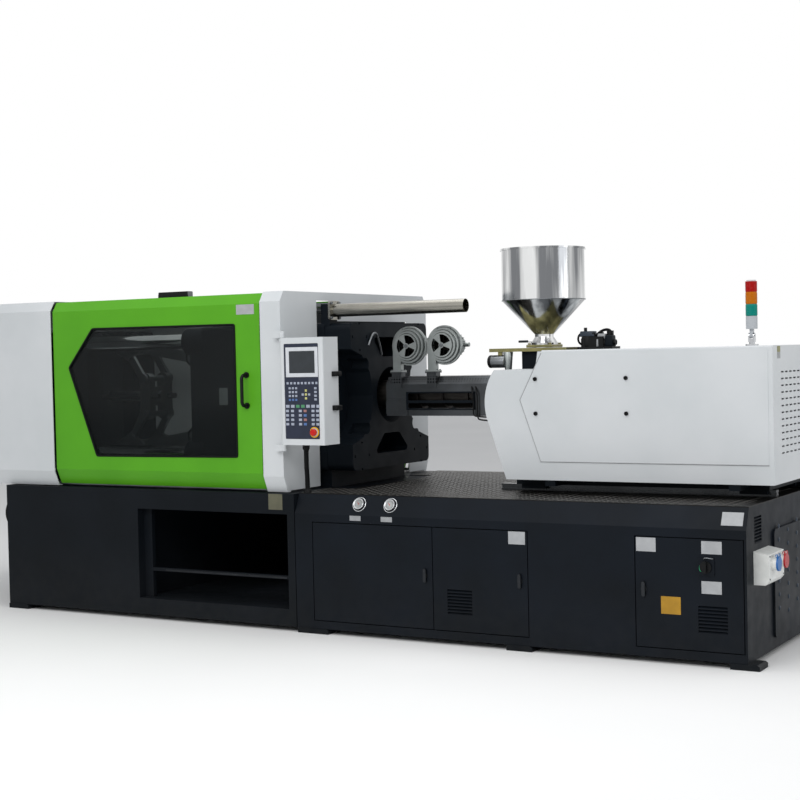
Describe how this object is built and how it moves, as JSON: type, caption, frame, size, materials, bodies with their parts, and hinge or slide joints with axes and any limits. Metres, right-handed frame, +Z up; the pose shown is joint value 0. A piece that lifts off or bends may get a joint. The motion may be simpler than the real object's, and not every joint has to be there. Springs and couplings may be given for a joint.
{
  "type": "injection moulding machine",
  "caption": "Horizontal injection moulding machine with a toggle clamp behind sliding green gates, an injection unit with hopper and blowers, and a cabinet base.",
  "frame": {"origin": "centre of the footprint on the floor", "axes": "+X along the machine from the clamp to the injection unit, +Y from the operator's side to the back, +Z up"},
  "size_m": [5.6534, 1.901, 2.19],
  "materials": {
    "base_paint": "satin",
    "foot_steel": "satin",
    "cabinet_paint": "satin",
    "deck_plate": "satin",
    "rail_steel": "satin",
    "platen_paint": "satin",
    "tie_bar_chrome": "gloss",
    "nut_steel": "satin",
    "cover_paint": "satin",
    "gate_paint": "satin",
    "window_sheet": "gloss",
    "black_plastic": "satin",
    "zinc_steel": "satin",
    "link_steel": "satin",
    "panel_paint": "satin",
    "button_red": "gloss",
    "socket_plastic": "satin",
    "lid_blue": "satin",
    "lid_red": "satin",
    "gauge_case": "satin",
    "motor_paint": "satin",
    "barrel_steel": "satin",
    "guard_paint": "satin",
    "carriage_paint": "satin",
    "blower_aluminium": "satin",
    "impeller_aluminium": "satin",
    "yellow_zinc": "satin",
    "stainless": "gloss",
    "lamp_stack": "gloss",
    "valve_alloy": "satin",
    "hose_rubber": "satin"
  },
  "bodies": {
    "machine_base": {"clamp_base_frame": "base_paint", "base_feet": "foot_steel", "injection_base_cabinet": "cabinet_paint", "deck_sheet": "deck_plate", "carriage_rails": "rail_steel", "fixed_platen": "platen_paint", "rear_platen": "platen_paint", "tie_bars": "tie_bar_chrome", "tie_bar_nuts": "nut_steel", "clamp_cylinder": "platen_paint", "clamp_rear_cover": "cover_paint", "guard_end_wall": "cover_paint", "gate_rails": "zinc_steel", "safety_bar_tube": "zinc_steel", "pressure_gauges": "gauge_case", "socket_box": "socket_plastic", "pump_unit": "motor_paint", "panel_conduit": "hose_rubber", "clamp_hose": "hose_rubber"},
    "front_gate_body": {"front_gate": "gate_paint", "front_gate_window": "window_sheet", "front_gate_handle": "black_plastic"},
    "rear_gate_body": {"rear_gate": "gate_paint"},
    "moving_platen_body": {"moving_platen": "platen_paint", "safety_bar": "zinc_steel"},
    "ejector_body": {"ejector_rod": "link_steel"},
    "crosshead_body": {"crosshead": "link_steel"},
    "rear_link_upper_body": {"rear_link_upper": "link_steel"},
    "rear_link_lower_body": {"rear_link_lower": "link_steel"},
    "front_link_upper_body": {"front_link_upper": "link_steel"},
    "front_link_lower_body": {"front_link_lower": "link_steel"},
    "crosshead_link_upper_body": {"crosshead_link_upper": "link_steel"},
    "crosshead_link_lower_body": {"crosshead_link_lower": "link_steel"},
    "panel_body": {"panel_housing": "panel_paint"},
    "stop_button_body": {"stop_button": "button_red"},
    "door_left_body": {"cabinet_door_left": "cabinet_paint"},
    "door_middle_body": {"cabinet_door_middle": "cabinet_paint"},
    "door_right_body": {"cabinet_door_right": "cabinet_paint"},
    "latch_left_body": {"door_latch_left": "black_plastic"},
    "latch_middle_body": {"door_latch_middle": "black_plastic"},
    "latch_right_body": {"door_latch_right": "black_plastic"},
    "switch_body": {"main_switch_knob": "black_plastic"},
    "lid_blue_body": {"socket_lid_blue": "lid_blue"},
    "lid_red_body": {"socket_lid_red": "lid_red"},
    "carriage_body": {"injection_carriage": "carriage_paint", "barrel": "barrel_steel", "barrel_guard": "guard_paint", "injection_cover": "cover_paint", "blower_1": "blower_aluminium", "blower_2": "blower_aluminium", "hopper_slide_plate": "yellow_zinc", "signal_tower_foot": "black_plastic", "valve_block": "valve_alloy"},
    "ram_body": {"injection_ram": "carriage_paint"},
    "screw_body": {"screw": "link_steel"},
    "impeller_1_body": {"impeller_1": "impeller_aluminium"},
    "impeller_2_body": {"impeller_2": "impeller_aluminium"},
    "hopper_body": {"hopper": "stainless"},
    "shutter_body": {"hopper_shutter": "stainless"},
    "tower_body": {"signal_tower": "lamp_stack"}
  },
  "joints": [
    {"name": "clamp_slide", "type": "slide", "parent": "machine_base", "child": "moving_platen_body", "axis": [1, 0, 0], "range_m": [-0.47316, 0]},
    {"name": "crosshead_slide", "type": "slide", "parent": "machine_base", "child": "crosshead_body", "axis": [1, 0, 0], "range_m": [-0.28808, 0]},
    {"name": "rear_link_upper_hinge", "type": "hinge", "parent": "machine_base", "child": "rear_link_upper_body", "pos_m": [-1.96, 0.039, 1.73], "axis": [0, 1, 0], "range_deg": [0, 102.54]},
    {"name": "front_link_upper_hinge", "type": "hinge", "parent": "moving_platen_body", "child": "front_link_upper_body", "pos_m": [-1.15, 0.039, 1.595], "axis": [0, 1, 0], "range_deg": [-29.83, 0]},
    {"name": "crosshead_link_upper_hinge", "type": "hinge", "parent": "crosshead_body", "child": "crosshead_link_upper_body", "pos_m": [-1.6518, 0.039, 1.465], "axis": [0, 1, 0], "range_deg": [-28.9, 0]},
    {"name": "rear_link_lower_hinge", "type": "hinge", "parent": "machine_base", "child": "rear_link_lower_body", "pos_m": [-1.96, 0.039, 0.96], "axis": [0, 1, 0], "range_deg": [-102.54, 0]},
    {"name": "front_link_lower_hinge", "type": "hinge", "parent": "moving_platen_body", "child": "front_link_lower_body", "pos_m": [-1.15, 0.039, 1.095], "axis": [0, 1, 0], "range_deg": [0, 29.83]},
    {"name": "crosshead_link_lower_hinge", "type": "hinge", "parent": "crosshead_body", "child": "crosshead_link_lower_body", "pos_m": [-1.6518, 0.039, 1.225], "axis": [0, 1, 0], "range_deg": [0, 28.9]},
    {"name": "ejector_slide", "type": "slide", "parent": "moving_platen_body", "child": "ejector_body", "axis": [1, 0, 0], "range_m": [0, 0.1]},
    {"name": "front_gate_slide", "type": "slide", "parent": "machine_base", "child": "front_gate_body", "axis": [-1, 0, 0], "range_m": [0, 0.95]},
    {"name": "rear_gate_slide", "type": "slide", "parent": "machine_base", "child": "rear_gate_body", "axis": [-1, 0, 0], "range_m": [0, 0.95]},
    {"name": "panel_hinge", "type": "hinge", "parent": "machine_base", "child": "panel_body", "pos_m": [0.004, -0.8535, 1.395], "axis": [0, 0, 1], "range_deg": [-90, 0]},
    {"name": "stop_press", "type": "slide", "parent": "panel_body", "child": "stop_button_body", "axis": [0, 1, 0], "range_m": [0, 0.004], "stiffness_N_per_m": 800},
    {"name": "door_left_hinge", "type": "hinge", "parent": "machine_base", "child": "door_left_body", "pos_m": [0.1745, -0.8155, 0.36], "axis": [0, 0, 1], "range_deg": [-110, 0]},
    {"name": "latch_left_turn", "type": "hinge", "parent": "door_left_body", "child": "latch_left_body", "pos_m": [0.9005, -0.8155, 0.375], "axis": [0, 1, 0], "range_deg": [0, 90]},
    {"name": "door_middle_hinge", "type": "hinge", "parent": "machine_base", "child": "door_middle_body", "pos_m": [0.9575, -0.8155, 0.36], "axis": [0, 0, 1], "range_deg": [-110, 0]},
    {"name": "latch_middle_turn", "type": "hinge", "parent": "door_middle_body", "child": "latch_middle_body", "pos_m": [1.4765, -0.8155, 0.375], "axis": [0, 1, 0], "range_deg": [0, 90]},
    {"name": "door_right_hinge", "type": "hinge", "parent": "machine_base", "child": "door_right_body", "pos_m": [2.6845, -0.8155, 0.36], "axis": [0, 0, 1], "range_deg": [0, 110]},
    {"name": "latch_right_turn", "type": "hinge", "parent": "door_right_body", "child": "latch_right_body", "pos_m": [2.1735, -0.8155, 0.375], "axis": [0, 1, 0], "range_deg": [-90, 0]},
    {"name": "main_switch_turn", "type": "hinge", "parent": "door_right_body", "child": "switch_body", "pos_m": [2.503, -0.8235, 0.502], "axis": [0, 1, 0], "range_deg": [0, 90]},
    {"name": "socket_lid_blue_hinge", "type": "hinge", "parent": "machine_base", "child": "lid_blue_body", "pos_m": [2.814, -0.6485, 0.553], "axis": [0, 1, 0], "range_deg": [-100, 0]},
    {"name": "socket_lid_red_hinge", "type": "hinge", "parent": "machine_base", "child": "lid_red_body", "pos_m": [2.814, -0.5235, 0.553], "axis": [0, 1, 0], "range_deg": [-100, 0]},
    {"name": "carriage_slide", "type": "slide", "parent": "machine_base", "child": "carriage_body", "axis": [1, 0, 0], "range_m": [0, 0.3]},
    {"name": "ram_slide", "type": "slide", "parent": "carriage_body", "child": "ram_body", "axis": [1, 0, 0], "range_m": [0, 0.22]},
    {"name": "screw_turn", "type": "hinge", "parent": "ram_body", "child": "screw_body", "pos_m": [1.29, 0.039, 1.345], "axis": [1, 0, 0], "continuous": true},
    {"name": "impeller_1_turn", "type": "hinge", "parent": "carriage_body", "child": "impeller_1_body", "pos_m": [0.417, -0.0835, 1.641], "axis": [0, 1, 0], "continuous": true},
    {"name": "impeller_2_turn", "type": "hinge", "parent": "carriage_body", "child": "impeller_2_body", "pos_m": [0.658, -0.0835, 1.641], "axis": [0, 1, 0], "continuous": true},
    {"name": "hopper_slide", "type": "slide", "parent": "carriage_body", "child": "hopper_body", "axis": [-1, 0, 0], "range_m": [0, 0.15]},
    {"name": "shutter_slide", "type": "slide", "parent": "hopper_body", "child": "shutter_body", "axis": [-1, 0, 0], "range_m": [0, 0.07]},
    {"name": "tower_fold", "type": "hinge", "parent": "carriage_body", "child": "tower_body", "pos_m": [2.598, -0.3235, 1.65], "axis": [1, 0, 0], "range_deg": [0, 90]}
  ],
  "couplings": [
    {"joint": "crosshead_slide", "follows": "clamp_slide", "ratio": 0.60883},
    {"joint": "rear_link_upper_hinge", "follows": "clamp_slide", "rad_per_m": -3.7822},
    {"joint": "front_link_upper_hinge", "follows": "clamp_slide", "rad_per_m": 1.1004},
    {"joint": "crosshead_link_upper_hinge", "follows": "clamp_slide", "rad_per_m": 1.0662},
    {"joint": "rear_link_lower_hinge", "follows": "clamp_slide", "rad_per_m": 3.7822},
    {"joint": "front_link_lower_hinge", "follows": "clamp_slide", "rad_per_m": -1.1004},
    {"joint": "crosshead_link_lower_hinge", "follows": "clamp_slide", "rad_per_m": -1.0662}
  ]
}
